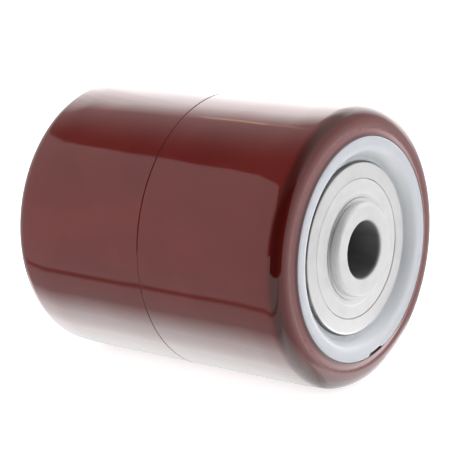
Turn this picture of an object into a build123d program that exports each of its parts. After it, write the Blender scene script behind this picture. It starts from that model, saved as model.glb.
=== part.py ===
from build123d import *
import os

# Load roller of a pallet truck fork.
# All sizes are in millimetres. The axle line is Y, Z is up, and the origin is the centre of the roller.
# Left is the +Y end and right is the -Y end. In a bearing, outboard is away from the middle of the roller.

# Tread
tread_diameter = 85.0
tread_width = 100.0
tread_shoulder_radius = 4.8
tread_inner_edge_rounding = 0.5
seam_width = 0.5
seam_depth = 0.2

# The wall between the bearing and the tread's surface is shared between the tread and the core.
# The core's end face, from the bearing outward, is a dish floor, a sloping dish wall and a flat rim land.
tread_share_of_wall = 0.524
core_rim_proud = 1.2
core_rim_rounding = 1.15
core_pocket_shoulder = 3.5
rim_land_share = 0.535
dish_floor_share = 0.16
dish_depth = 3.8
dish_edge_rounding = 2.2
dish_foot_rounding = 1.0

# Grooves round the core that key the tread to it
key_groove_count = 4
key_groove_width = 7.0
key_groove_depth = 1.6
key_groove_draft = 0.6

# Mark of the moulding gate, a flat across the right rim of the core
gate_notch_width = 7.0
gate_notch_depth = 0.9
gate_notch_angle = -77.0

# Ball bearings
bearing_bore = 20.0
bearing_outside = 52.0
bearing_width = 15.0
bearing_recess = 2.45
ring_rounding = 1.1
ball_count = 7
ball_diameter = 9.525
ball_clearance = 0.05
groove_to_ball_ratio = 1.04
inner_shoulder_drop = 2.8
outer_shoulder_rise = 2.9

# Bearing shields, and the seat that they snap into
shield_seat_step = 1.3
shield_sheet = 0.4
shield_recess = 1.0
shield_edge_recess = 0.4
shield_rim_run = 1.5
shield_snap_groove = 0.4
shield_snap_width = 0.9
shield_snap_play = 0.1
shield_bore_gap = 0.3
shield_lip_run = 1.1
shield_lip_step = 0.3

# Cage
cage_strip_width = 3.4
cage_sheet = 0.6
cage_pocket_clearance = 0.12
rivet_diameter = 1.6
rivet_head_diameter = 2.8
rivet_head_height = 0.4

# Flanged bushes and spacer tube
axle_bore = 17.0
axle_bore_chamfer = 0.7
bush_sleeve_length = 14.0
bush_flange_diameter = 28.2
bush_flange_thickness = 2.65
bush_flange_rounding = 1.2
spacer_outside = 26.0
spacer_bore = 18.0
spacer_chamfer = 0.5

# Worked out from the sizes above
tread_radius = tread_diameter / 2
tread_end = tread_width / 2
pocket_radius = bearing_outside / 2
core_radius = tread_radius - tread_share_of_wall * (tread_radius - pocket_radius)
core_bore_radius = pocket_radius - core_pocket_shoulder
core_wall = core_radius - pocket_radius
rim_land_width = core_wall * rim_land_share
dish_floor_width = core_wall * dish_floor_share
dish_edge_radius = core_radius - rim_land_width
dish_foot_radius = pocket_radius + dish_floor_width
edge_rounding = min(dish_edge_rounding, 0.6 * rim_land_width)
foot_rounding = min(dish_foot_rounding, dish_floor_width)
rim_plane = tread_end + core_rim_proud
dish_floor_plane = rim_plane - dish_depth
bearing_face = rim_plane - bearing_recess
bearing_centre = bearing_face - bearing_width / 2
bearing_back = bearing_face - bearing_width
half_width = bearing_width / 2
pitch_radius = (bearing_bore + bearing_outside) / 4
ball_radius = ball_diameter / 2
groove_radius = ball_radius * groove_to_ball_ratio
inner_groove_centre = pitch_radius - ball_radius - ball_clearance + groove_radius
outer_groove_centre = pitch_radius + ball_radius + ball_clearance - groove_radius
inner_shoulder_radius = pitch_radius - inner_shoulder_drop
outer_shoulder_radius = pitch_radius + outer_shoulder_rise
shield_seat_radius = outer_shoulder_radius + shield_seat_step
shield_plate_face = half_width - shield_recess
shield_plate_back = shield_plate_face - shield_sheet
shield_bore_radius = inner_shoulder_radius + shield_bore_gap
cage_inner_radius = pitch_radius - cage_strip_width / 2
cage_outer_radius = pitch_radius + cage_strip_width / 2
cage_pocket_radius = ball_radius + cage_pocket_clearance
ball_step = 360 / ball_count


def turned(corners):
    """Revolves a closed outline about the axle. A corner is (radius, place along the axle, rounding)."""
    outline = Polyline(*[(radius, along) for radius, along, _ in corners], close=True)
    face = make_face(outline).face()
    for radius, along, rounding in corners:
        if rounding > 0:
            corner = face.vertices().sort_by_distance((radius, along, 0))[0]
            face = face.fillet_2d(rounding, [corner])
    return revolve(face, Axis.Y, 360)


def ring(inner_radius, outer_radius, start, end):
    """A plain ring about the axle between two places along it."""
    return turned(
        [
            (inner_radius, start, 0),
            (outer_radius, start, 0),
            (outer_radius, end, 0),
            (inner_radius, end, 0),
        ]
    )


def around_pitch_circle(shape, first_angle):
    """Copies a shape to each of the ball places, starting at an angle about the axle."""
    angles = [first_angle + ball_step * index for index in range(ball_count)]
    return [Rotation(0, -angle, 0) * Pos(pitch_radius, 0, 0) * shape for angle in angles]


def key_groove_corners():
    """Outline that the core's outside and the tread's inside share, from the right end to the left."""
    corners = []
    for index in range(key_groove_count):
        middle = tread_width * ((index + 1) / (key_groove_count + 1) - 0.5)
        floor_half = key_groove_width / 2 - key_groove_draft
        corners.append((core_radius, middle - key_groove_width / 2, 0))
        corners.append((core_radius - key_groove_depth, middle - floor_half, 0))
        corners.append((core_radius - key_groove_depth, middle + floor_half, 0))
        corners.append((core_radius, middle + key_groove_width / 2, 0))
    return corners


def tread():
    """Polyurethane tyre, keyed into the core's grooves, with a fine mould seam round the middle."""
    inside = key_groove_corners()
    corners = [
        (core_radius, tread_end, tread_inner_edge_rounding),
        (tread_radius, tread_end, tread_shoulder_radius),
        (tread_radius, seam_width / 2, 0),
        (tread_radius - seam_depth, 0, 0),
        (tread_radius, -seam_width / 2, 0),
        (tread_radius, -tread_end, tread_shoulder_radius),
        (core_radius, -tread_end, tread_inner_edge_rounding),
    ]
    return turned(corners + inside)


def dish_corners(side):
    """Outline of one end of the core, from outside to bore. Side is 1 at the left end, -1 at the right."""
    return [
        (core_radius, side * rim_plane, core_rim_rounding),
        (dish_edge_radius, side * rim_plane, edge_rounding),
        (dish_foot_radius, side * dish_floor_plane, foot_rounding),
        (pocket_radius, side * dish_floor_plane, 0),
        (pocket_radius, side * bearing_back, 0),
        (core_bore_radius, side * bearing_back, 0),
    ]


def hub_core():
    """Moulded core, with a dish and a bearing pocket at each end and the gate mark on the right rim."""
    right_end = list(reversed(dish_corners(-1)))
    left_end = dish_corners(1)
    core = turned(right_end + key_groove_corners() + left_end)
    on_rim = (Align.MAX, Align.MIN, Align.CENTER)
    cutter = Box(gate_notch_depth, core_rim_proud, gate_notch_width, align=on_rim)
    notch = Rotation(0, -gate_notch_angle, 0) * Pos(core_radius, -rim_plane, 0) * cutter
    return core - notch


def race_groove(centre_radius):
    """The ring of round section that cuts a ball groove."""
    return Rotation(90, 0, 0) * Torus(centre_radius, groove_radius)


def inner_ring():
    """Inner ring of a bearing, about the bearing's own centre."""
    blank = turned(
        [
            (bearing_bore / 2, -half_width, ring_rounding),
            (inner_shoulder_radius, -half_width, 0),
            (inner_shoulder_radius, half_width, 0),
            (bearing_bore / 2, half_width, ring_rounding),
        ]
    )
    return blank - race_groove(inner_groove_centre)


def shield_seat_corners(side):
    """Inside of one edge of the outer ring, from face to shoulder. Side is 1 or -1 from the centre."""
    snap_outer = half_width - shield_edge_recess
    snap_inner = snap_outer - shield_snap_width
    return [
        (shield_seat_radius, side * half_width, 0),
        (shield_seat_radius, side * snap_outer, 0),
        (shield_seat_radius + shield_snap_groove, side * snap_outer, 0),
        (shield_seat_radius + shield_snap_groove, side * snap_inner, 0),
        (shield_seat_radius, side * snap_inner, 0),
        (shield_seat_radius, side * (shield_plate_back - shield_snap_play), 0),
        (outer_shoulder_radius, side * (shield_plate_back - shield_snap_play), 0),
    ]


def outer_ring():
    """Outer ring of a bearing, about the bearing's own centre, with a snap groove for each shield."""
    outside = [
        (bearing_outside / 2, -half_width, ring_rounding),
        (bearing_outside / 2, half_width, ring_rounding),
    ]
    inside = shield_seat_corners(1) + list(reversed(shield_seat_corners(-1)))
    return turned(outside + inside) - race_groove(outer_groove_centre)


def shield():
    """Outboard shield of a bearing: snap edge, sloping rim, flat plate, and a lip stepped in at the bore."""
    snap_radius = shield_seat_radius + shield_snap_groove - shield_snap_play
    snap_face = half_width - shield_edge_recess - shield_snap_play
    rim_foot_radius = shield_seat_radius - shield_snap_play - shield_rim_run
    lip_radius = shield_bore_radius + shield_lip_run
    face_corners = [
        (snap_radius, snap_face, 0),
        (shield_seat_radius - shield_snap_play, snap_face, 0),
        (rim_foot_radius, shield_plate_face, 0),
        (lip_radius, shield_plate_face, 0),
        (lip_radius - shield_lip_step, shield_plate_face - shield_lip_step, 0),
        (shield_bore_radius, shield_plate_face - shield_lip_step, 0),
    ]
    back_corners = [(radius, along - shield_sheet, 0) for radius, along, _ in reversed(face_corners)]
    return turned(face_corners + back_corners)


def cage_half():
    """Outboard half of a cage: a flat strip with a domed pocket over each ball and a hole for each rivet."""
    strip = ring(cage_inner_radius, cage_outer_radius, 0, cage_sheet)
    band = ring(cage_inner_radius, cage_outer_radius, 0, cage_pocket_radius + cage_sheet)
    domes = Part() + around_pitch_circle(Sphere(cage_pocket_radius + cage_sheet), 0)
    pockets = around_pitch_circle(Sphere(cage_pocket_radius), 0)
    hole = Rotation(90, 0, 0) * Cylinder(rivet_diameter / 2, 4 * cage_sheet)
    return strip + (domes & band) - pockets - around_pitch_circle(hole, ball_step / 2)


def cage_rivets():
    """The rivets that hold the halves of a cage together, one between each two balls."""
    shank = Rotation(90, 0, 0) * Cylinder(rivet_diameter / 2, 2 * (cage_sheet + rivet_head_height))
    head = Rotation(90, 0, 0) * Cylinder(rivet_head_diameter / 2, rivet_head_height)
    head_place = cage_sheet + rivet_head_height / 2
    rivet = shank + Pos(0, head_place, 0) * head + Pos(0, -head_place, 0) * head
    return Compound(children=around_pitch_circle(rivet, ball_step / 2))


def flanged_bush():
    """Left bush: its sleeve fills the inner ring's bore and its flange stands on the ring's face."""
    flange_face = bearing_face + bush_flange_thickness
    sleeve_end = bearing_face - bush_sleeve_length
    return turned(
        [
            (axle_bore / 2, flange_face - axle_bore_chamfer, 0),
            (axle_bore / 2 + axle_bore_chamfer, flange_face, 0),
            (bush_flange_diameter / 2, flange_face, bush_flange_rounding),
            (bush_flange_diameter / 2, bearing_face, 0),
            (bearing_bore / 2, bearing_face, 0),
            (bearing_bore / 2, sleeve_end, 0),
            (axle_bore / 2, sleeve_end, 0),
        ]
    )


def spacer_tube():
    """Tube on the axle that keeps the two inner rings apart."""
    return turned(
        [
            (spacer_bore / 2, -bearing_back, spacer_chamfer),
            (spacer_outside / 2, -bearing_back, spacer_chamfer),
            (spacer_outside / 2, bearing_back, spacer_chamfer),
            (spacer_bore / 2, bearing_back, spacer_chamfer),
        ]
    )


def left_bearing():
    """The pieces of the left bearing by name, about the bearing's own centre."""
    outboard_shield = shield()
    outboard_half = cage_half()
    pieces = {
        "outer_ring": outer_ring(),
        "inner_ring": inner_ring(),
        "outboard_shield": outboard_shield,
        "inboard_shield": mirror(outboard_shield, Plane.XZ),
        "cage_outboard_half": outboard_half,
        "cage_inboard_half": mirror(outboard_half, Plane.XZ),
        "cage_rivets": cage_rivets(),
    }
    for index, ball in enumerate(around_pitch_circle(Sphere(ball_radius), 0)):
        pieces[f"ball_{index + 1}"] = ball
    return pieces


def roller():
    """Every piece of the roller by name, in place."""
    pieces = {"tread": tread(), "hub_core": hub_core(), "spacer_tube": spacer_tube()}
    end_pieces = {name: Pos(0, bearing_centre, 0) * piece for name, piece in left_bearing().items()}
    end_pieces["flanged_bush"] = flanged_bush()
    for name, piece in end_pieces.items():
        pieces[f"left_{name}"] = piece
        pieces[f"right_{name}"] = mirror(piece, Plane.XZ)
    return pieces


os.makedirs("parts", exist_ok=True)
for node, solid in roller().items():
    export_step(solid, f"parts/{node}.step")
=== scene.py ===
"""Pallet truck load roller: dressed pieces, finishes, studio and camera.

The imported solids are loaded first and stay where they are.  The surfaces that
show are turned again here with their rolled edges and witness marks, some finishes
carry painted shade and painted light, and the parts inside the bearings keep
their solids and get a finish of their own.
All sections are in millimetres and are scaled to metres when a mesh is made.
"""

import logging
import math
from collections.abc import Callable, Iterable
from dataclasses import dataclass, field
from enum import Enum

import bpy
import numpy as np
from mathutils import Matrix, Quaternion, Vector


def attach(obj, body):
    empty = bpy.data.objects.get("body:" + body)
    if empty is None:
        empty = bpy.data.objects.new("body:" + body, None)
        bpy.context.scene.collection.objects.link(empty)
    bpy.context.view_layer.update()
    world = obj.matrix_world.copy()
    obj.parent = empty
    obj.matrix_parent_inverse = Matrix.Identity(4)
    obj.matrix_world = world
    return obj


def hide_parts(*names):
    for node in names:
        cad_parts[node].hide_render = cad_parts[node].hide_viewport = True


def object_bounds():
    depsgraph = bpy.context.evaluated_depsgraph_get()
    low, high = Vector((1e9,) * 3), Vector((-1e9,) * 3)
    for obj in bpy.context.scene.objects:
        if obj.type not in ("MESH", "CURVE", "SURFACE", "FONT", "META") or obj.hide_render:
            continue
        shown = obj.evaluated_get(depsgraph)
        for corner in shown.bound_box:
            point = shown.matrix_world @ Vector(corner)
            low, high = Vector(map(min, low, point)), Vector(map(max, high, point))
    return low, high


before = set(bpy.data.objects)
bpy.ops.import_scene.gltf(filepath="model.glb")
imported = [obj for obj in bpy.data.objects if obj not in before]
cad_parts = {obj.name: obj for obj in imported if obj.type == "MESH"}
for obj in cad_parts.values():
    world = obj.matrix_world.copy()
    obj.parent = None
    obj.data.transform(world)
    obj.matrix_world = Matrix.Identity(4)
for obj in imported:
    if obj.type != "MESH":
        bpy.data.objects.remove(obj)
CAD_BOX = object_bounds()

LOG = logging.getLogger("load_roller")
MM = 0.001
UP = (0.0, 0.0, 1.0)
TABLE_TOP = -0.0423
SHARP_DEGREES = 42

Field = np.ndarray
Warp = Callable[[Field, Field, Field], tuple[Field, Field]]
Value = bpy.types.NodeSocket | float | tuple


class Body(Enum):
    """Moving groups of the roller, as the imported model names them."""

    AXLE = "axle_group"
    ROLLER = "roller"


class End(Enum):
    """The two ends of the roller and the way each one faces along the axle."""

    LEFT = 1
    RIGHT = -1

    @property
    def side(self) -> str:
        """Word that starts this end's node names."""
        return self.name.lower()


class Slot(Enum):
    """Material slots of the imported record."""

    TREAD = "tread_polyurethane"
    CORE = "core_polyamide"
    BEARING = "bearing_steel"
    SHIELD = "shield_steel"
    CAGE = "cage_steel"
    BALL = "ball_steel"
    BUSH = "bush_steel"
    TUBE = "tube_steel"


# ---------------------------------------------------------------- node sheets


class Sheet:
    """A node tree with short calls for the nodes that the finishes use."""

    def __init__(self, tree: bpy.types.NodeTree) -> None:
        """Takes over a node tree.

        Args:
            tree: Node tree of a material or of the world.
        """
        self.tree = tree

    def add(self, kind: str, inputs: dict | None = None, **settings: object) -> bpy.types.Node:
        """Adds one node, sets it and feeds it.

        Args:
            kind: Node type, without the leading ShaderNode.
            inputs: Socket name or number to a value or to an output socket.
            **settings: Properties of the node itself.

        Returns:
            The new node.
        """
        node = self.tree.nodes.new("ShaderNode" + kind)
        for key, value in settings.items():
            setattr(node, key, value)
        for key, value in (inputs or {}).items():
            socket = node.inputs[key]
            if isinstance(value, bpy.types.NodeSocket):
                self.tree.links.new(value, socket)
            else:
                socket.default_value = value
        return node

    def math(self, operation: str, *values: Value) -> bpy.types.NodeSocket:
        """Combines one to three numbers or sockets.

        Args:
            operation: Name of the sum, such as MULTIPLY.
            *values: Numbers or sockets, in the order of the node's inputs.

        Returns:
            The result's socket.
        """
        return self.add("Math", dict(enumerate(values)), operation=operation).outputs[0]

    def spread(
        self, value: Value, low: float, high: float, to_low: float = 0.0, to_high: float = 1.0
    ) -> bpy.types.NodeSocket:
        """Maps a range smoothly on to another one and holds it there.

        Args:
            value: Socket to map.
            low: Start of the range.
            high: End of the range.
            to_low: Result at the start.
            to_high: Result at the end.

        Returns:
            The mapped socket.
        """
        inputs = {0: value, 1: low, 2: high, 3: to_low, 4: to_high}
        node = self.add("MapRange", inputs, interpolation_type="SMOOTHSTEP", clamp=True)
        return node.outputs[0]

    def noise(
        self, vector: Value, scale: float, detail: float = 2.0, w: Value | None = None
    ) -> bpy.types.NodeSocket:
        """Reads a noise that stays fixed to the piece.

        Args:
            vector: Socket with the place.
            scale: Cells per unit of the place.
            detail: Octaves of finer noise.
            w: Socket of a fourth coordinate, where there is one.

        Returns:
            The noise, about one half on average.
        """
        inputs = {"Vector": vector, "Scale": scale, "Detail": detail}
        if w is not None:
            inputs["W"] = w
        size = "3D" if w is None else "4D"
        return self.add("TexNoise", inputs, noise_dimensions=size).outputs["Fac"]

    def blend(self, factor: Value, low: Value, high: Value) -> bpy.types.NodeSocket:
        """Mixes two colours.

        Args:
            factor: Share of the second colour.
            low: First colour.
            high: Second colour.

        Returns:
            The mixed colour.
        """
        node = self.add("Mix", data_type="RGBA", blend_type="MIX")
        for socket, value in ((0, factor), (6, low), (7, high)):
            if isinstance(value, bpy.types.NodeSocket):
                self.tree.links.new(value, node.inputs[socket])
            else:
                node.inputs[socket].default_value = value
        return node.outputs[2]


@dataclass
class Turning:
    """Places on a turned piece: its radius, its length along the axle and its angle."""

    sheet: Sheet
    place: bpy.types.NodeSocket = field(init=False)
    radius: bpy.types.NodeSocket = field(init=False)
    length: bpy.types.NodeSocket = field(init=False)
    around: tuple = field(init=False)

    def __post_init__(self) -> None:
        """Works the three places out from the piece's own coordinates."""
        s = self.sheet
        self.place = s.add("TexCoord").outputs["Object"]
        parts = s.add("SeparateXYZ", {0: self.place}).outputs
        across = s.math("MULTIPLY", parts[0], parts[0])
        upward = s.math("MULTIPLY", parts[2], parts[2])
        square = s.math("ADD", across, upward)
        self.radius = s.math("SQRT", square)
        self.length = parts[1]
        safe = s.math("MAXIMUM", self.radius, 1e-5)
        self.around = (s.math("DIVIDE", parts[0], safe), s.math("DIVIDE", parts[2], safe))

    def rings(self, pitch: float, drift: float = 0.6) -> bpy.types.NodeSocket:
        """Fine marks that run round the piece, as a tool leaves them.

        Args:
            pitch: Spacing of the marks in metres.
            drift: How much the marks change on the way round.

        Returns:
            Height of the marks, from nought to one.
        """
        s = self.sheet
        across = s.math("MULTIPLY", self.radius, 1 / pitch)
        along = s.math("MULTIPLY", self.length, 1 / pitch)
        turn = s.math("MULTIPLY", self.around[0], drift)
        vector = s.add("CombineXYZ", {0: across, 1: along, 2: turn}).outputs[0]
        return s.noise(vector, 1.0, 1.0, w=s.math("MULTIPLY", self.around[1], drift))

    def streaks(self, length: float, width: float) -> bpy.types.NodeSocket:
        """Soft streaks that run along the axle.

        Args:
            length: Length of a streak in metres.
            width: Width of a streak in metres.

        Returns:
            Strength of the streaks, from nought to one.
        """
        s = self.sheet
        stretch = (1 / width, 1 / length, 1 / width)
        vector = s.add("Mapping", {"Vector": self.place, "Scale": stretch}).outputs[0]
        return s.noise(vector, 1.0, 2.0)


# -------------------------------------------------------------------- finishes


class Finish:
    """A finish that makes its material once and lays it on pieces."""

    title = "finish"

    def __init__(self) -> None:
        """Starts without a material."""
        self._material: bpy.types.Material | None = None

    def dress(self, sheet: Sheet, turning: Turning, surface: bpy.types.Node) -> None:
        """Wires the finish; each finish has its own way."""
        raise NotImplementedError

    def material(self) -> bpy.types.Material:
        """Makes the material on first use.

        Returns:
            The finish's material.
        """
        if self._material is None:
            made = bpy.data.materials.new(self.title)
            made.use_nodes = True
            sheet = Sheet(made.node_tree)
            surface = made.node_tree.nodes["Principled BSDF"]
            self.dress(sheet, Turning(sheet), surface)
            self._material = made
        return self._material

    def lay_on(self, piece: bpy.types.Object) -> None:
        """Gives a piece this finish in all of its material slots.

        Args:
            piece: Mesh object to finish.
        """
        if not piece.material_slots:
            piece.data.materials.append(self.material())
        for slot in piece.material_slots:
            slot.material = self.material()


def relief(sheet: Sheet, surface: bpy.types.Node, *layers: tuple) -> None:
    """Stacks bump layers under a surface.

    Args:
        sheet: Node sheet of the material.
        surface: Shader that takes the relief.
        *layers: Pairs of a height socket and its depth in metres.
    """
    under = None
    for height, depth in layers:
        inputs = {"Height": height, "Distance": depth, "Strength": 1.0}
        if under is not None:
            inputs["Normal"] = under
        under = sheet.add("Bump", inputs).outputs[0]
    sheet.tree.links.new(under, surface.inputs["Normal"])


def feed(sheet: Sheet, surface: bpy.types.Node, **values: Value) -> None:
    """Sets or links the shader's sockets.

    Args:
        sheet: Node sheet of the material.
        surface: Shader to feed.
        **values: Socket names, with spaces as underscores, and what goes in.
    """
    for key, value in values.items():
        socket = surface.inputs[key.replace("_", " ")]
        if isinstance(value, bpy.types.NodeSocket):
            sheet.tree.links.new(value, socket)
        else:
            socket.default_value = value


class CastPolyurethane(Finish):
    """Red-brown cast polyurethane, glossy on the tread and duller on its trimmed ends, which also carry a
    painted sheen.
    """

    title = "cast_polyurethane"
    body = (0.112, 0.0086, 0.0066, 1.0)
    cloud = (0.131, 0.0116, 0.0090, 1.0)
    # Paler trimmed ends: partly the duller trimmed face, partly painted sheen for light reflected off the
    # end faces.
    trim_and_painted_sheen = (0.310, 0.135, 0.136, 1.0)
    # Painted shade in the joint between the tyre and the core.
    painted_joint_shade = (0.070, 0.022, 0.024, 1.0)
    # Painted dark reflection: a darker band on the shoulder stands in for the dark reflection and shade
    # there.
    painted_dark_reflection = (0.036, 0.0040, 0.0032, 1.0)
    amber = (0.400, 0.170, 0.060, 1.0)
    reflection_band_rise = (0.0462, 0.0476)
    reflection_band_fall = (0.0486, 0.0498)
    reflection_band_share = 0.65
    face_from = 49.70 * MM
    face_to = 49.98 * MM
    dull_and_sheen_reach = (0.0345, 0.0388)
    joint_shade_reach = (0.03400, 0.03510)
    joint_shade_share = 0.75
    line_turn = -0.455
    line_width = (0.004, 0.013)
    line_share = 0.75
    line_start = (-0.047, -0.038)
    line_stop = (-0.020, 0.005)

    def dress(self, sheet: Sheet, turning: Turning, surface: bpy.types.Node) -> None:
        """Wires clouds, a painted dark reflection on the shoulder, the trimmed ends with their painted
        sheen, painted shade in the joint to the core, the amber line and a fine orange peel.

        Args:
            sheet: Node sheet of the material.
            turning: Places on the piece.
            surface: Shader that takes the finish.
        """
        clouds = sheet.noise(turning.place, 45.0, 3.0)
        streaks = turning.streaks(0.030, 0.004)
        tone = sheet.blend(sheet.spread(clouds, 0.35, 0.70), self.body, self.cloud)
        reach = sheet.math("ABSOLUTE", turning.length)
        # Painted dark reflection on the shoulder, between these lengths along the axle.
        rise = sheet.spread(reach, *self.reflection_band_rise)
        fall = sheet.spread(reach, *self.reflection_band_fall, self.reflection_band_share, 0.0)
        tone = sheet.blend(sheet.math("MULTIPLY", rise, fall), tone, self.painted_dark_reflection)
        # Trimmed ends, rougher and painted paler as sheen, fading out towards the shoulder.
        trim = sheet.spread(reach, self.face_from, self.face_to)
        inward = sheet.spread(turning.radius, *self.dull_and_sheen_reach, 1.0, 0.15)
        dull_and_sheen = sheet.math("MULTIPLY", trim, inward)
        tone = sheet.blend(sheet.math("MULTIPLY", dull_and_sheen, 0.9), tone, self.trim_and_painted_sheen)
        # Painted shade on the tyre's inner edge, in the joint to the core.
        joint_shade = sheet.spread(turning.radius, *self.joint_shade_reach, self.joint_shade_share, 0.0)
        tone = sheet.blend(joint_shade, tone, self.painted_joint_shade)
        tone = sheet.blend(self.flow_line(sheet, turning), tone, self.amber)
        rough = sheet.spread(streaks, 0.30, 0.75, 0.05, 0.10)
        rough = sheet.math("ADD", rough, sheet.math("MULTIPLY", dull_and_sheen, 0.25))
        feed(sheet, surface, Base_Color=tone, Roughness=rough, IOR=1.53)
        peel = sheet.noise(turning.place, 900.0, 2.0)
        swell = sheet.noise(turning.place, 55.0, 1.0)
        relief(sheet, surface, (swell, 0.00012), (peel, 0.0000025), (turning.rings(0.0005), 0.0000012))

    def flow_line(self, sheet: Sheet, turning: Turning) -> bpy.types.NodeSocket:
        """Thin amber line where two streams of the casting met, high on the tread.

        Args:
            sheet: Node sheet of the finish.
            turning: Places on the tyre.

        Returns:
            Strength of the line, from nought to one.
        """
        drift = sheet.math("MULTIPLY", sheet.noise(turning.place, 60.0, 1.0), 0.02)
        turn = sheet.math("ADD", turning.around[0], drift)
        away = sheet.math("ABSOLUTE", sheet.math("SUBTRACT", turn, self.line_turn))
        line = sheet.spread(away, *self.line_width, self.line_share, 0.0)
        line = sheet.math("MULTIPLY", line, sheet.spread(turning.around[1], 0.0, 0.2))
        line = sheet.math("MULTIPLY", line, sheet.spread(turning.length, *self.line_start))
        line = sheet.math("MULTIPLY", line, sheet.spread(turning.length, *self.line_stop, 1.0, 0.0))
        broken = sheet.spread(turning.streaks(0.012, 0.003), 0.35, 0.60, 0.3, 1.0)
        return sheet.math("MULTIPLY", line, broken)


class MouldedPolyamide(Finish):
    """Natural white polyamide with the cool cast and soft gloss of a moulding."""

    title = "moulded_polyamide"
    clean = (0.880, 0.905, 0.970, 1.0)
    shaded = (0.840, 0.870, 0.940, 1.0)
    # Painted light: the rim is painted darker than the dish, so that the dish looks filled with light.
    painted_dim_rim = (0.735, 0.750, 0.825, 1.0)
    edge = (0.110, 0.050, 0.060, 1.0)
    painted_dim_rim_reach = (0.0290, 0.0312)
    edge_reach = (0.03335, 0.03355)
    edge_share = 0.8

    def dress(self, sheet: Sheet, turning: Turning, surface: bpy.types.Node) -> None:
        """Wires flow marks, a rim painted darker than the dish as painted light in the dish, its dark outer
        edge and a fine moulded skin.

        Args:
            sheet: Node sheet of the material.
            turning: Places on the piece.
            surface: Shader that takes the finish.
        """
        flow = sheet.noise(turning.place, 70.0, 4.0)
        tone = sheet.blend(sheet.spread(flow, 0.35, 0.70), self.clean, self.shaded)
        # Painted light: darker tone on the rim beyond this radius, paler dish inside it.
        tone = sheet.blend(sheet.spread(turning.radius, *self.painted_dim_rim_reach), tone, self.painted_dim_rim)
        outer = sheet.spread(turning.radius, *self.edge_reach, 0.0, self.edge_share)
        tone = sheet.blend(outer, tone, self.edge)
        rough = sheet.spread(sheet.noise(turning.place, 260.0, 3.0), 0.3, 0.7, 0.30, 0.42)
        feed(sheet, surface, Base_Color=tone, Roughness=rough, IOR=1.53)
        feed(sheet, surface, Subsurface_Weight=0.8, Subsurface_Scale=0.008)
        surface.inputs["Subsurface Radius"].default_value = (1.0, 0.9, 0.85)
        skin = sheet.noise(turning.place, 1400.0, 2.0)
        relief(sheet, surface, (flow, 0.00006), (skin, 0.000004))


@dataclass(eq=False)
class WorkedSteel(Finish):
    """Bare or plated steel with the marks of the tool that made its faces."""

    title: str = "worked_steel"
    tone: tuple = (0.76, 0.75, 0.75, 1.0)
    stain: tuple = (0.71, 0.70, 0.70, 1.0)
    metal: float = 1.0
    smooth: float = 0.40
    coarse: float = 0.50
    mark_pitch: float = 0.00022
    mark_depth: float = 0.0000012

    def __post_init__(self) -> None:
        """Starts without a material."""
        super().__init__()

    def dress(self, sheet: Sheet, turning: Turning, surface: bpy.types.Node) -> None:
        """Wires the tool marks, a faint mottle and changing roughness.

        Args:
            sheet: Node sheet of the material.
            turning: Places on the piece.
            surface: Shader that takes the finish.
        """
        mottle = sheet.noise(turning.place, 180.0, 4.0)
        rings = turning.rings(self.mark_pitch)
        tone = sheet.blend(sheet.spread(mottle, 0.40, 0.75), self.tone, self.stain)
        rough = sheet.spread(rings, 0.30, 0.70, self.smooth, self.coarse)
        feed(sheet, surface, Base_Color=tone, Metallic=self.metal, Roughness=rough)
        relief(sheet, surface, (mottle, 0.000006), (rings, self.mark_depth))


@dataclass(eq=False)
class SteelWithPaintedShade(WorkedSteel):
    """Worked steel with a dark band of painted shade outside or inside one radius."""

    # Painted shade: dark colour for the shade in a gap or inside a bore.
    painted_shade: tuple = (0.060, 0.062, 0.050, 1.0)
    painted_shade_from: float = 25.35 * MM
    painted_shade_to: float = 25.75 * MM
    painted_shade_share: float = 0.92
    outside: bool = True

    def dress(self, sheet: Sheet, turning: Turning, surface: bpy.types.Node) -> None:
        """Wires the worked faces and lays the painted shade over its share of them.

        Args:
            sheet: Node sheet of the material.
            turning: Places on the piece.
            surface: Shader that takes the finish.
        """
        super().dress(sheet, turning, surface)
        tone = surface.inputs["Base Color"].links[0].from_socket
        ends = (0.0, self.painted_shade_share) if self.outside else (self.painted_shade_share, 0.0)
        # Painted shade outside or inside the given radius, broken by faint streaks.
        painted_shade = sheet.spread(turning.radius, self.painted_shade_from, self.painted_shade_to, *ends)
        drawn = sheet.spread(turning.streaks(0.025, 0.005), 0.3, 0.7, 0.84, 1.0)
        painted_shade = sheet.math("MULTIPLY", painted_shade, drawn)
        feed(sheet, surface, Base_Color=sheet.blend(painted_shade, tone, self.painted_shade))


# ---------------------------------------------------------------------- turning


@dataclass(frozen=True)
class Corner:
    """One corner of a turned section, with the rounding on it."""

    r: float
    y: float
    round: float = 0.0


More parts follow.
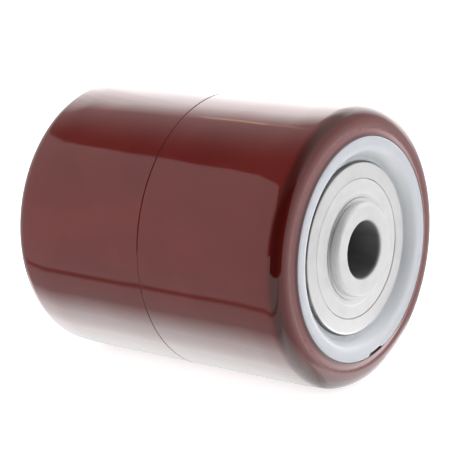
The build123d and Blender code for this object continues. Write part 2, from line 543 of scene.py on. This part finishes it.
def rolled(corners: Iterable[Corner], arc_step: float = 7.5, hold: float = 0.08) -> Field:
    """Rounds the corners of a closed section.

    Args:
        corners: Corners in order round the section.
        arc_step: Degrees between the points of a rounding.
        hold: Distance of the extra point beside each rounding, in millimetres.

    Returns:
        Points of the section, one row of radius and length each.
    """
    corners = list(corners)
    points: list[tuple[float, float]] = []
    for index, corner in enumerate(corners):
        here = Vector((corner.r, corner.y))
        before = corners[index - 1]
        after = corners[(index + 1) % len(corners)]
        back = Vector((before.r, before.y)) - here
        ahead = Vector((after.r, after.y)) - here
        if corner.round <= 0.0:
            points.append(tuple(here))
            continue
        back_way = back.normalized()
        ahead_way = ahead.normalized()
        half = math.acos(max(-1.0, min(1.0, back_way.dot(ahead_way)))) / 2
        reach = corner.round / math.tan(half)
        middle = here + (back_way + ahead_way).normalized() * (corner.round / math.sin(half))
        start = here + back_way * reach
        stop = here + ahead_way * reach
        first = math.atan2(start.y - middle.y, start.x - middle.x)
        last = math.atan2(stop.y - middle.y, stop.x - middle.x)
        sweep = (last - first + math.pi) % (2 * math.pi) - math.pi
        count = max(3, math.ceil(abs(math.degrees(sweep)) / arc_step))
        if back.length > reach + 2 * hold:
            points.append(tuple(start + back_way * hold))
        for step in range(count + 1):
            angle = first + sweep * step / count
            x = middle.x + corner.round * math.cos(angle)
            points.append((x, middle.y + corner.round * math.sin(angle)))
        if ahead.length > reach + 2 * hold:
            points.append(tuple(stop + ahead_way * hold))
    return np.array(points)


def turned(name: str, section: Field, steps: int = 288, warp: Warp | None = None) -> bpy.types.Object:
    """Turns a closed section about the axle.

    Args:
        name: Name of the piece.
        section: Points of the section, one row of radius and length each.
        steps: Steps round the axle.
        warp: Moves the radius and length of each point, given its angle.

    Returns:
        The new object, with a closed mesh.
    """
    ring = np.roll(section, -1, axis=0)
    area = float(np.sum(section[:, 0] * ring[:, 1] - ring[:, 0] * section[:, 1]))
    if area > 0:
        section = section[::-1]
    count = len(section)
    angle = np.linspace(0.0, 2 * math.pi, steps, endpoint=False)
    radius = np.repeat(section[:, 0][None, :], steps, axis=0)
    length = np.repeat(section[:, 1][None, :], steps, axis=0)
    theta = np.repeat(angle[:, None], count, axis=1)
    if warp is not None:
        radius, length = warp(radius, length, theta)
    points = np.stack([radius * np.cos(theta), length, radius * np.sin(theta)], axis=-1).reshape(-1, 3) * MM
    row, column = np.meshgrid(np.arange(steps), np.arange(count), indexing="ij")
    next_row = (row + 1) % steps
    next_column = (column + 1) % count
    corners = [
        row * count + column,
        next_row * count + column,
        next_row * count + next_column,
        row * count + next_column,
    ]
    faces = np.stack(corners, axis=-1).reshape(-1, 4)
    mesh = bpy.data.meshes.new(name)
    mesh.from_pydata(points.tolist(), [], faces.tolist())
    mesh.polygons.foreach_set("use_smooth", np.ones(len(faces), bool))
    mesh.set_sharp_from_angle(angle=math.radians(SHARP_DEGREES))
    mesh.validate()
    piece = bpy.data.objects.new(name, mesh)
    bpy.context.scene.collection.objects.link(piece)
    return piece


def faced(corners: list[Corner], end: End, arc_step: float, hold: float) -> Field:
    """Turns a section towards one end and rounds it.

    Args:
        corners: Corners for the left end.
        end: End that the section is for.
        arc_step: Degrees between the points of a rounding.
        hold: Distance of the extra point beside each rounding, in millimetres.

    Returns:
        Points of the closed section.
    """
    sign = end.value
    return rolled([Corner(c.r, sign * c.y, c.round) for c in corners], arc_step, hold)


def window(theta: Field, centre: float, half: float, fade: float) -> Field:
    """Share of a mark at each angle round the axle.

    Args:
        theta: Angles in radians.
        centre: Middle of the mark in degrees.
        half: Half of its width in degrees.
        fade: Degrees over which it runs out.

    Returns:
        One inside the mark, nought outside, and a smooth step between.
    """
    away = np.abs((np.degrees(theta) - centre + 180.0) % 360.0 - 180.0)
    share = np.clip((half + fade - away) / fade, 0.0, 1.0)
    return share * share * (3.0 - 2.0 * share)


def place_piece(piece: bpy.types.Object, body: Body, slot: Slot, finish: Finish, *nodes: str) -> None:
    """Finishes a new piece, mounts it on its body and reports it.

    Args:
        piece: The new mesh object.
        body: Body that it moves with.
        slot: Slot of the record that it stands for; not used.
        finish: Finish that it gets.
        *nodes: Solids that it stands in for.
    """
    finish.lay_on(piece)
    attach(piece, body.value)
    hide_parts(*nodes)
    LOG.info("%s: %d faces on %s", piece.name, len(piece.data.polygons), body.value)


# ---------------------------------------------------------------- the assemblies


@dataclass(frozen=True)
class Keys:
    """Grooves round the core that hold the tyre along the axle."""

    places: tuple = (-30.0, -10.0, 10.0, 30.0)
    width: float = 7.0
    depth: float = 1.6

    def corners(self, radius: float, way: int) -> list[Corner]:
        """Corners of all the grooves.

        Args:
            radius: Radius of the surface that the grooves are cut in.
            way: One to go up the axle and minus one to go down it.

        Returns:
            The corners in order.
        """
        corners = []
        for y in sorted(self.places, reverse=way < 0):
            near = y - way * self.width / 2
            far = y + way * self.width / 2
            floor = radius - self.depth
            corners += [Corner(radius, near), Corner(floor, near), Corner(floor, far), Corner(radius, far)]
        return corners


@dataclass
class Tread:
    """Polyurethane tyre cast round the core."""

    radius: float = 42.5
    half_length: float = 50.0
    shoulder: float = 4.8
    knee: float = 58.0
    crown: float = 6.2
    crown_stop: float = 89.5
    foot_plane: float = 50.0
    bore: float = 33.854
    ease_from: float = 37.5
    ease_slope: float = 4.4
    lip_height: float = 0.88
    lip_radius: float = 33.60
    lip_foot: float = 1.9
    seam_half: float = 0.25
    seam_depth: float = 0.20
    keys: Keys = Keys()

    def section(self) -> Field:
        """Section of the tyre with its seam and the keys that grip the core.

        Returns:
            Points of the closed section.
        """
        top = self.radius
        corners = self.shoulder_curve(-1)
        for y in np.linspace(-35.0, -5.0, 7):
            corners.append(Corner(top, float(y)))
        corners += [Corner(top, -2.0), Corner(top, -1.0)]
        corners += [
            Corner(top, -self.seam_half, 0.10),
            Corner(top - self.seam_depth, 0.0, 0.06),
            Corner(top, self.seam_half, 0.10),
        ]
        corners += [Corner(top, 1.0), Corner(top, 2.0)]
        for y in np.linspace(5.0, 35.0, 7):
            corners.append(Corner(top, float(y)))
        corners += reversed(self.shoulder_curve(1))
        corners += self.keys.corners(self.bore, -1)
        return rolled(corners, 5.0, 0.3)

    def shoulder_curve(self, sign: int) -> list[Corner]:
        """Lip at the bore, crowned end face, rounded shoulder and its easing into the tread.

        Args:
            sign: One for the left end and minus one for the right end.

        Returns:
            Corners from the bore outward.
        """
        knee = math.radians(self.knee)
        flat = math.radians(self.crown_stop)
        start = math.radians(self.ease_slope)
        middle_y = self.half_length - self.shoulder
        ease_end = middle_y + self.shoulder * math.sin(start)
        ease_fall = math.tan(start) * (ease_end - self.ease_from) / 2
        middle_r = self.radius - ease_fall - self.shoulder * math.cos(start)
        tight = [math.radians(a) for a in np.arange(self.ease_slope, self.knee, 4.0)]
        points = []
        for a in tight:
            points.append((middle_r + self.shoulder * math.cos(a), middle_y + self.shoulder * math.sin(a)))
        knee_r = middle_r + self.shoulder * math.cos(knee)
        knee_y = middle_y + self.shoulder * math.sin(knee)
        wide_r = knee_r - self.crown * math.cos(knee)
        wide_y = knee_y - self.crown * math.sin(knee)
        for a in np.linspace(knee, flat, 9):
            points.append((wide_r + self.crown * math.cos(a), wide_y + self.crown * math.sin(a)))
        last_r, last_y = points[-1]
        for share in (0.35, 0.70):
            drop = (last_y - self.foot_plane) * share * share
            points.append((last_r + (self.bore - last_r) * share, last_y - drop))
        run_in = np.linspace(self.ease_from, ease_end, 9)[:-1]
        eased = self.radius - ease_fall * ((run_in - self.ease_from) / (ease_end - self.ease_from)) ** 2
        points = [*zip(eased.tolist(), run_in.tolist()), *points]
        corners = [Corner(r, sign * y) for r, y in points if r > self.bore + self.lip_foot + 0.2]
        corners.append(Corner(self.bore + self.lip_foot, sign * self.foot_plane, 0.9))
        corners.append(Corner(self.lip_radius + 0.12, sign * (self.foot_plane + self.lip_height), 0.10))
        corners.append(Corner(self.lip_radius, sign * (self.foot_plane + self.lip_height - 0.15), 0.05))
        corners.append(Corner(self.bore, sign * self.foot_plane))
        return list(reversed(corners))

    def build(self, finish: Finish) -> None:
        """Turns the tyre and mounts it.

        Args:
            finish: Finish of the polyurethane.
        """
        piece = turned("tread_tyre", self.section(), 432)
        place_piece(piece, Body.ROLLER, Slot.TREAD, finish, "tread")


@dataclass
class Core:
    """Moulded hub between the tyre and the two bearings."""

    radius: float = 33.854
    rim_plane: float = 51.2
    rim_edge: float = 1.15
    rim_land: float = 29.65
    land_edge: float = 2.2
    dish_foot: float = 27.26
    foot_edge: float = 1.0
    dish_plane: float = 47.4
    pocket: float = 26.0
    pocket_back: float = 33.75
    bore: float = 22.5
    keys: Keys = Keys()
    gate_angle: float = -77.0
    gate_width: float = 7.0
    gate_depth: float = 0.9
    gate_height: float = 1.2
    gate_reach: float = 1.4

    def end_corners(self, sign: int) -> list[Corner]:
        """Corners of one end, from the rim's outer edge to the bore.

        Args:
            sign: One for the left end and minus one for the right end.

        Returns:
            The corners in order.
        """
        return [
            Corner(self.radius, sign * (self.rim_plane - self.gate_height - 0.6)),
            Corner(self.radius, sign * (self.rim_plane - self.gate_height - 0.1)),
            Corner(self.radius, sign * self.rim_plane, self.rim_edge),
            Corner(self.rim_land, sign * self.rim_plane, self.land_edge),
            Corner(self.dish_foot, sign * self.dish_plane, self.foot_edge),
            Corner(self.pocket, sign * self.dish_plane, 0.15),
            Corner(self.pocket, sign * self.pocket_back),
            Corner(self.bore, sign * self.pocket_back, 0.3),
        ]

    def section(self) -> Field:
        """Section of the whole core.

        Returns:
            Points of the closed section.
        """
        corners = list(reversed(self.end_corners(-1)))
        corners += self.keys.corners(self.radius, 1)
        corners += self.end_corners(1)
        return rolled(corners, 6.0, 0.12)

    def gate(self, radius: Field, length: Field, theta: Field) -> tuple[Field, Field]:
        """Cuts the gate notch into the outer edge of the right rim.

        Args:
            radius: Radius of each point.
            length: Place of each point along the axle.
            theta: Angle of each point.

        Returns:
            Radius and place of each point with the notch in.
        """
        half = math.degrees(self.gate_width / 2 / self.radius)
        share = window(theta, self.gate_angle, half - 0.5, 1.0)
        below = length < -(self.rim_plane - self.gate_height) + 0.01
        outer = (radius > self.radius - self.gate_reach) & below
        return radius - np.where(outer, share * self.gate_depth, 0.0), length

    def build(self, finish: Finish) -> None:
        """Turns the core and mounts it.

        Args:
            finish: Finish of the polyamide.
        """
        piece = turned("core_hub", self.section(), 432, self.gate)
        place_piece(piece, Body.ROLLER, Slot.CORE, finish, "hub_core")


@dataclass
class BearingFace:
    """What shows of one shielded bearing: its outer ring and its outboard shield."""

    end: End
    outer_radius: float = 26.0
    face: float = 48.75
    back: float = 33.75
    edge: float = 1.1
    land: float = 21.0
    land_edge: float = 0.22
    seat: float = 22.3
    seat_floor: float = 1.5
    shoulder: float = 20.9
    groove_middle: float = 41.25
    groove_radius: float = 4.953
    groove_pitch: float = 17.860
    plate: float = 0.12
    crimp: float = 0.50
    sheet: float = 0.4
    bead_radius: float = 16.3
    bead_height: float = 0.16
    lip: float = 15.28

    def ring_section(self) -> Field:
        """Section of the outer ring: rounded outside, land, shield seats and ball groove.

        Returns:
            Points of the closed section.
        """
        corners = [
            Corner(self.outer_radius, self.back, self.edge),
            Corner(self.outer_radius, self.face, self.edge),
            Corner(self.land, self.face, self.land_edge),
            Corner(self.land, self.face - self.crimp, 0.05),
            Corner(self.seat, self.face - self.crimp, 0.05),
            Corner(self.seat, self.face - self.seat_floor, 0.08),
            Corner(self.shoulder, self.face - self.seat_floor, 0.10),
        ]
        corners += self.ball_groove()
        corners += [
            Corner(self.shoulder, self.back + self.seat_floor, 0.10),
            Corner(self.seat, self.back + self.seat_floor, 0.08),
            Corner(self.seat, self.back, 0.22),
        ]
        return faced(corners, self.end, 8.0, 0.06)

    def ball_groove(self) -> list[Corner]:
        """Round groove in the ring's bore that the balls run in.

        Returns:
            Corners of the groove from the outboard shoulder inward.
        """
        half = math.degrees(math.acos((self.shoulder - self.groove_pitch) / self.groove_radius))
        corners = []
        for a in np.radians(np.linspace(half, -half, 17)):
            r = self.groove_pitch + self.groove_radius * math.cos(a)
            corners.append(Corner(r, self.groove_middle + self.groove_radius * math.sin(a)))
        return corners

    def shield_section(self) -> Field:
        """Section of the pressed shield: crimped rim, dished plate, bead and lip.

        Returns:
            Points of the closed section.
        """
        plane, low = self.face - self.plate, self.face - self.crimp - 0.05
        front = [
            (self.seat - 0.1, low),
            (self.land - 0.10, low),
            (self.land - 0.28, plane - 0.02),
            (self.land - 1.20, plane),
            (18.3, plane - 0.06),
            (17.2, plane - 0.04),
            (self.bead_radius + 0.35, plane + self.bead_height * 0.8),
            (self.bead_radius, plane + self.bead_height),
            (self.bead_radius - 0.45, plane + self.bead_height * 0.5),
            (self.lip, plane - 0.12),
        ]
        back = [(r, y - self.sheet) for r, y in reversed(front)]
        corners = [Corner(*front[0]), *(Corner(r, y, 0.25) for r, y in front[1:-1]), Corner(*front[-1])]
        corners += [Corner(r, y) for r, y in back]
        return faced(corners, self.end, 8.0, 0.06)

    def build(self, ring_finish: Finish, shield_finish: Finish) -> None:
        """Turns the ring and the shield of this end and mounts them.

        Args:
            ring_finish: Finish of the outer ring.
            shield_finish: Finish of the shield.
        """
        side = self.end.side
        ring = turned(f"{side}_bearing_ring", self.ring_section(), 288)
        place_piece(ring, Body.ROLLER, Slot.BEARING, ring_finish, f"{side}_outer_ring")
        shield = turned(f"{side}_pressed_shield", self.shield_section(), 288)
        place_piece(shield, Body.ROLLER, Slot.SHIELD, shield_finish, f"{side}_outboard_shield")


@dataclass
class Bush:
    """Flanged bush of one end, turned from bar."""

    end: End
    bore: float = 8.5
    mouth_edge: float = 1.15
    flange_face: float = 51.4
    flange_radius: float = 14.1
    flange_edge: float = 1.25
    ring_face: float = 48.75
    sleeve_radius: float = 10.0
    sleeve_end: float = 34.75

    def section(self) -> Field:
        """Section of the bush.

        Returns:
            Points of the closed section.
        """
        corners = [
            Corner(self.bore, self.flange_face, self.mouth_edge),
            Corner(self.flange_radius, self.flange_face, self.flange_edge),
            Corner(self.flange_radius, self.ring_face, 0.12),
            Corner(self.sleeve_radius, self.ring_face),
            Corner(self.sleeve_radius, self.sleeve_end, 0.4),
            Corner(self.bore, self.sleeve_end, 0.3),
        ]
        return faced(corners, self.end, 5.0, 0.08)

    def build(self, finish: Finish) -> None:
        """Turns the bush and mounts it.

        Args:
            finish: Finish of the turned steel.
        """
        side = self.end.side
        piece = turned(f"{side}_axle_bush", self.section(), 288)
        place_piece(piece, Body.AXLE, Slot.BUSH, finish, f"{side}_flanged_bush")


# ----------------------------------------------------------------------- studio


class Reach(Enum):
    """What a lamp lights: only gloss or only matt colour."""

    GLOSS = "gloss"
    MATT = "matt"


@dataclass(frozen=True)
class Softbox:
    """A lamp box whose light fades over nested panels at its edges."""

    name: str
    centre: tuple[float, float, float]
    facing: tuple[float, float, float]
    width: float
    height: float
    level: float
    layers: int = 1
    fade: tuple[float, float] = (0.0, 0.0)
    reach: Reach = Reach.MATT
    step: float = 0.0001

    def turned_to(self) -> Quaternion:
        """Turn that faces the box and keeps its width level.

        Returns:
            The turn of every panel.
        """
        away = -Vector(self.facing).normalized()
        level = Vector((-away.y, away.x, 0.0))
        if level.length < 1e-6:
            level = Vector((1.0, 0.0, 0.0))
        level.normalize()
        return Matrix((level, away.cross(level), away)).transposed().to_quaternion()

    def build(self) -> None:
        """Hangs the nested panels and hides them from the camera."""
        ahead = Vector(self.facing).normalized() * self.step
        for layer in range(self.layers):
            share = layer / max(1, self.layers - 1)
            lamp = bpy.data.lights.new(f"{self.name}_{layer}", "AREA")
            lamp.shape = "RECTANGLE"
            lamp.size = self.width * (1.0 - self.fade[0] * share)
            lamp.size_y = self.height * (1.0 - self.fade[1] * share)
            lamp.energy = math.pi * lamp.size * lamp.size_y * self.level / self.layers
            holder = bpy.data.objects.new(lamp.name, lamp)
            holder.location = Vector(self.centre) + ahead * layer
            holder.rotation_mode = "QUATERNION"
            holder.rotation_quaternion = self.turned_to()
            holder.visible_camera = False
            holder.visible_glossy = self.reach is Reach.GLOSS
            holder.visible_diffuse = self.reach is Reach.MATT
            bpy.context.scene.collection.objects.link(holder)
        LOG.info("softbox %s, %d panels", self.name, self.layers)


@dataclass
class Studio:
    """Plain white sweep, a dim ceiling and camera side, and the lamps."""

    floor_size: float = 6.0
    fill: float = 0.37
    ceiling_turn: tuple[float, float] = (60.0, 110.0)
    ceiling_edge: tuple[float, float, float] = (0.50, -0.52, 0.69)
    ceiling_soft: float = 0.006
    ceiling_lift: tuple[float, float] = (0.25, 0.45)
    camera_side: tuple[float, float, float] = (-0.72, -0.69, 0.10)
    camera_fade: tuple[float, float] = (0.50, 0.86)
    gloss_dims: tuple[float, float] = (0.85, 0.97)
    matt_dims: tuple[float, float] = (0.5, 0.9)
    floor_tone: tuple = (0.78, 0.78, 0.78, 1.0)
    floor_glow: float = 0.78

    def world(self) -> None:
        """White background with a dim ceiling and a dim side behind the camera."""
        world = bpy.data.worlds.new("white_sweep")
        world.use_nodes = True
        bpy.context.scene.world = world
        tree = world.node_tree
        tree.nodes.clear()
        s = Sheet(tree)
        way = s.add("TexCoord").outputs["Generated"]
        parts = s.add("SeparateXYZ", {0: way}).outputs
        turn = s.math("ARCTAN2", parts[2], parts[0])
        soft_edge = s.spread(turn, *map(math.radians, self.ceiling_turn))
        sharp = self.beyond(s, way, self.ceiling_edge, self.ceiling_soft)
        ceiling = s.math("MULTIPLY", soft_edge, sharp)
        ceiling = s.math("MULTIPLY", ceiling, s.spread(parts[2], *self.ceiling_lift))
        behind = s.add("VectorMath", {0: way, 1: self.camera_side}, operation="DOT_PRODUCT").outputs[1]
        near = s.spread(behind, *self.camera_fade)
        path = s.add("LightPath").outputs
        wall = s.math("SUBTRACT", 1.0, self.dimmer(s, ceiling, near, self.gloss_dims))
        matt = s.math("SUBTRACT", 1.0, self.dimmer(s, ceiling, near, self.matt_dims))
        level = s.math("MULTIPLY", matt, self.fill)
        glossy = s.math("MAXIMUM", path["Is Glossy Ray"], path["Is Transmission Ray"])
        other = s.math("MULTIPLY", level, s.math("SUBTRACT", 1.0, glossy))
        level = s.math("ADD", other, s.math("MULTIPLY", wall, glossy))
        level = s.math("MAXIMUM", level, path["Is Camera Ray"])
        sky = s.add("Background", {"Color": (1.0, 1.0, 1.0, 1.0), "Strength": level})
        out = s.add("OutputWorld")
        tree.links.new(sky.outputs[0], out.inputs[0])

    @staticmethod
    def dimmer(s: Sheet, ceiling: Value, near: Value, dims: tuple) -> bpy.types.NodeSocket:
        """How much the ceiling and the camera's side take from the white.

        Args:
            s: Node sheet of the world.
            ceiling: Share of the ceiling in a direction.
            near: Share of the camera's side in a direction.
            dims: What the ceiling takes and what the camera's side takes.

        Returns:
            The larger of the two.
        """
        over = s.math("MULTIPLY", ceiling, dims[0])
        return s.math("MAXIMUM", over, s.math("MULTIPLY", near, dims[1]))

    @staticmethod
    def beyond(s: Sheet, way: Value, normal: tuple, soft: float) -> bpy.types.NodeSocket:
        """Share of a direction on the far side of a plane through the middle.

        Args:
            s: Node sheet of the world.
            way: Direction looked in.
            normal: Normal of the plane.
            soft: Half of the fade across the edge.

        Returns:
            One on the side that the normal points to.
        """
        unit = tuple(Vector(normal).normalized())
        side = s.add("VectorMath", {0: way, 1: unit}, operation="DOT_PRODUCT").outputs[1]
        return s.spread(side, -soft, soft)

    def floor(self) -> None:
        """Pale floor that shows white and keeps the roller's shadow."""
        low = CAD_BOX[0].z - 0.0003
        half = self.floor_size / 2
        mesh = bpy.data.meshes.new("floor")
        corners = [(-half, -half, low), (half, -half, low), (half, half, low), (-half, half, low)]
        mesh.from_pydata(corners, [], [(0, 1, 2, 3)])
        floor = bpy.data.objects.new("floor", mesh)
        bpy.context.scene.collection.objects.link(floor)
        made = bpy.data.materials.new("pale_floor")
        made.use_nodes = True
        tree = made.node_tree
        tree.nodes.clear()
        s = Sheet(tree)
        path = s.add("LightPath").outputs
        paint = s.add("BsdfDiffuse", {"Color": self.floor_tone})
        white = s.add("Emission", {"Strength": 1.0})
        glow = s.add("Emission", {"Strength": self.floor_glow})
        lit = s.add("AddShader", {0: paint.outputs[0], 1: glow.outputs[0]})
        seen = s.add("MixShader", {0: path["Is Camera Ray"], 1: paint.outputs[0], 2: lit.outputs[0]})
        glossy = s.math("MAXIMUM", path["Is Glossy Ray"], path["Is Transmission Ray"])
        both = s.add("MixShader", {0: glossy, 1: seen.outputs[0], 2: white.outputs[0]})
        out = s.add("OutputMaterial")
        tree.links.new(both.outputs[0], out.inputs[0])
        mesh.materials.append(made)

    @staticmethod
    def card(name: str, corners: list[tuple[float, float, float]], shade: float = 0.0) -> None:
        """Dark card that only shows in the gloss.

        Args:
            name: Name of the card.
            corners: Its four corners.
            shade: How much it still glows.
        """
        mesh = bpy.data.meshes.new(name)
        mesh.from_pydata(corners, [], [(0, 1, 2, 3)])
        card = bpy.data.objects.new(name, mesh)
        bpy.context.scene.collection.objects.link(card)
        made = bpy.data.materials.new(name + "_paint")
        made.use_nodes = True
        surface = made.node_tree.nodes["Principled BSDF"]
        surface.inputs["Base Color"].default_value = (0.01, 0.01, 0.01, 1.0)
        surface.inputs["Specular IOR Level"].default_value = 0.0
        surface.inputs["Emission Color"].default_value = (1.0, 1.0, 1.0, 1.0)
        surface.inputs["Emission Strength"].default_value = shade
        mesh.materials.append(made)
        card.visible_camera = False
        card.visible_diffuse = False
        card.visible_shadow = False

    def cards(self) -> None:
        """Joint of the table top, soft on both sides, and the flag beside the camera."""
        x, y = -0.071, 0.45
        for index, (half, shade) in enumerate(((0.0038, 0.60), (0.0020, 0.30))):
            z = TABLE_TOP + 0.00005 * index
            corners = [(x - half, -y, z), (x + half, -y, z), (x + half, y, z), (x - half, y, z)]
            self.card(f"table_joint_{index + 1}", corners, shade)
        left, right = (-0.214, -0.098), (-0.030, -0.236)
        low, high = TABLE_TOP, 0.12
        self.card("camera_flag", [(*left, low), (*right, low), (*right, high), (*left, high)])

    def lamps(self) -> None:
        """Back softbox and lit table for the gloss, and a key and two fills for the matt colours."""
        gloss = Reach.GLOSS
        boxes = (
            Softbox(
                "back_softbox", centre=(0.74, 0.29, 0.43), facing=(-0.74, -0.29, -0.43),
                width=1.60, height=1.00, level=2.9, layers=8, fade=(0.5, 0.5), reach=gloss,
            ),
            Softbox(
                "table_left", centre=(-0.030, 0.02, TABLE_TOP), facing=UP,
                width=0.036, height=0.19, level=2.2, layers=6, fade=(0.65, 0.25), reach=gloss,
            ),
            Softbox(
                "table_right", centre=(0.038, 0.01, TABLE_TOP), facing=UP,
                width=0.060, height=0.17, level=2.2, layers=4, fade=(0.6, 0.2), reach=gloss,
            ),
            Softbox(
                "table_front", centre=(0.012, -0.057, TABLE_TOP), facing=UP,
                width=0.080, height=0.022, level=1.5, layers=3, fade=(0.4, 0.3), reach=gloss,
            ),
            Softbox("top_key", (0.55, 0.0, 0.83), (-0.55, 0.0, -0.83), 0.90, 0.60, level=3.9),
            Softbox("front_fill", (0.36, -0.92, 0.26), (-0.36, 0.92, -0.26), 1.0, 1.0, level=1.94),
            Softbox("left_fill", (-0.80, 0.55, 0.25), (0.80, -0.55, -0.25), 0.6, 0.6, level=6.8),
        )
        for box in boxes:
            box.build()

    def build(self) -> None:
        """Sets the world, the floor, the dark cards and the lamps."""
        self.world()
        self.floor()
        self.cards()
        self.lamps()


@dataclass
class Viewpoint:
    """Camera on the near end and the left side of the tread."""

    azimuth: float = -52.52
    elevation: float = 11.53
    distance: float = 0.56755
    lens: float = 146.6
    sensor: float = 36.0
    shift: tuple[float, float] = (-0.0016, 0.0082)

    def build(self) -> None:
        """Places the camera and makes it the scene's own."""
        turn = math.radians(self.azimuth)
        lift = math.radians(self.elevation)
        back = Vector((math.sin(turn) * math.cos(lift), -math.cos(turn) * math.cos(lift), math.sin(lift)))
        data = bpy.data.cameras.new("camera")
        data.lens = self.lens
        data.sensor_width = self.sensor
        data.shift_x, data.shift_y = self.shift
        data.clip_start = 0.01
        data.clip_end = 20.0
        camera = bpy.data.objects.new("camera", data)
        camera.location = back * self.distance
        camera.rotation_mode = "QUATERNION"
        camera.rotation_quaternion = (-back).to_track_quat("-Z", "Y")
        bpy.context.scene.collection.objects.link(camera)
        bpy.context.scene.camera = camera


PALE = (0.80, 0.795, 0.80, 1.0)
PALE_STAIN = (0.75, 0.745, 0.75, 1.0)
DULL_STAIN = (0.42, 0.41, 0.40, 1.0)
CAGE_TONE = (0.55, 0.54, 0.52, 1.0)
TUBE_TONE = (0.45, 0.45, 0.46, 1.0)
# Painted shade inside the bush's bore.
BORE_PAINTED_SHADE = (0.16, 0.155, 0.155, 1.0)


def steel_finishes() -> dict[str, Finish]:
    """Steel finishes of the bearings, the bushes and the tube.

    Returns:
        The finish of each slot.
    """
    return {
        # The bearing ring carries painted shade on its rounded outer edge, in the gap to the core.
        Slot.BEARING.value: SteelWithPaintedShade("ground_bearing_steel"),
        Slot.SHIELD.value: WorkedSteel("pressed_shield_steel", PALE, PALE_STAIN, 0.45, 0.46, 0.56),
        Slot.CAGE.value: WorkedSteel("pressed_cage_steel", CAGE_TONE, DULL_STAIN, 1.0, 0.35, 0.45),
        Slot.BALL.value: WorkedSteel("polished_ball_steel", smooth=0.05, coarse=0.08, mark_depth=0.0000002),
        # The bush carries painted shade inside its bore.
        Slot.BUSH.value: SteelWithPaintedShade(
            "turned_bush_steel", PALE, PALE_STAIN, metal=0.20, smooth=0.50, coarse=0.60, mark_pitch=0.0003,
            painted_shade=BORE_PAINTED_SHADE, painted_shade_from=8.55 * MM, painted_shade_to=9.10 * MM, outside=False,
        ),
        Slot.TUBE.value: WorkedSteel("drawn_tube_steel", TUBE_TONE, DULL_STAIN, 1.0, 0.35, 0.50),
    }


def dress_solids(finishes: dict[str, Finish]) -> None:
    """Gives the solids that stay a finish of their own.

    Args:
        finishes: Finish of each slot.
    """
    kinds = (
        ("_ring", Slot.BEARING),
        ("_shield", Slot.SHIELD),
        ("_half", Slot.CAGE),
        ("_rivets", Slot.CAGE),
        ("_bush", Slot.BUSH),
        ("_tube", Slot.TUBE),
        ("_ball_", Slot.BALL),
    )
    for name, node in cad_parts.items():
        for mark, slot in kinds:
            if mark in name:
                finishes[slot.value].lay_on(node)


def main() -> None:
    """Builds the roller, its studio and its camera."""
    logging.basicConfig(level=logging.INFO, format="%(name)s: %(message)s")
    Viewpoint().build()
    Tread().build(CastPolyurethane())
    Core().build(MouldedPolyamide())
    finishes = steel_finishes()
    dress_solids(finishes)
    for end in End:
        BearingFace(end).build(finishes[Slot.BEARING.value], finishes[Slot.SHIELD.value])
        Bush(end).build(finishes[Slot.BUSH.value])
    Studio().build()
    bpy.context.scene.view_settings.view_transform = "Standard"


if __name__ == "__main__":
    main()
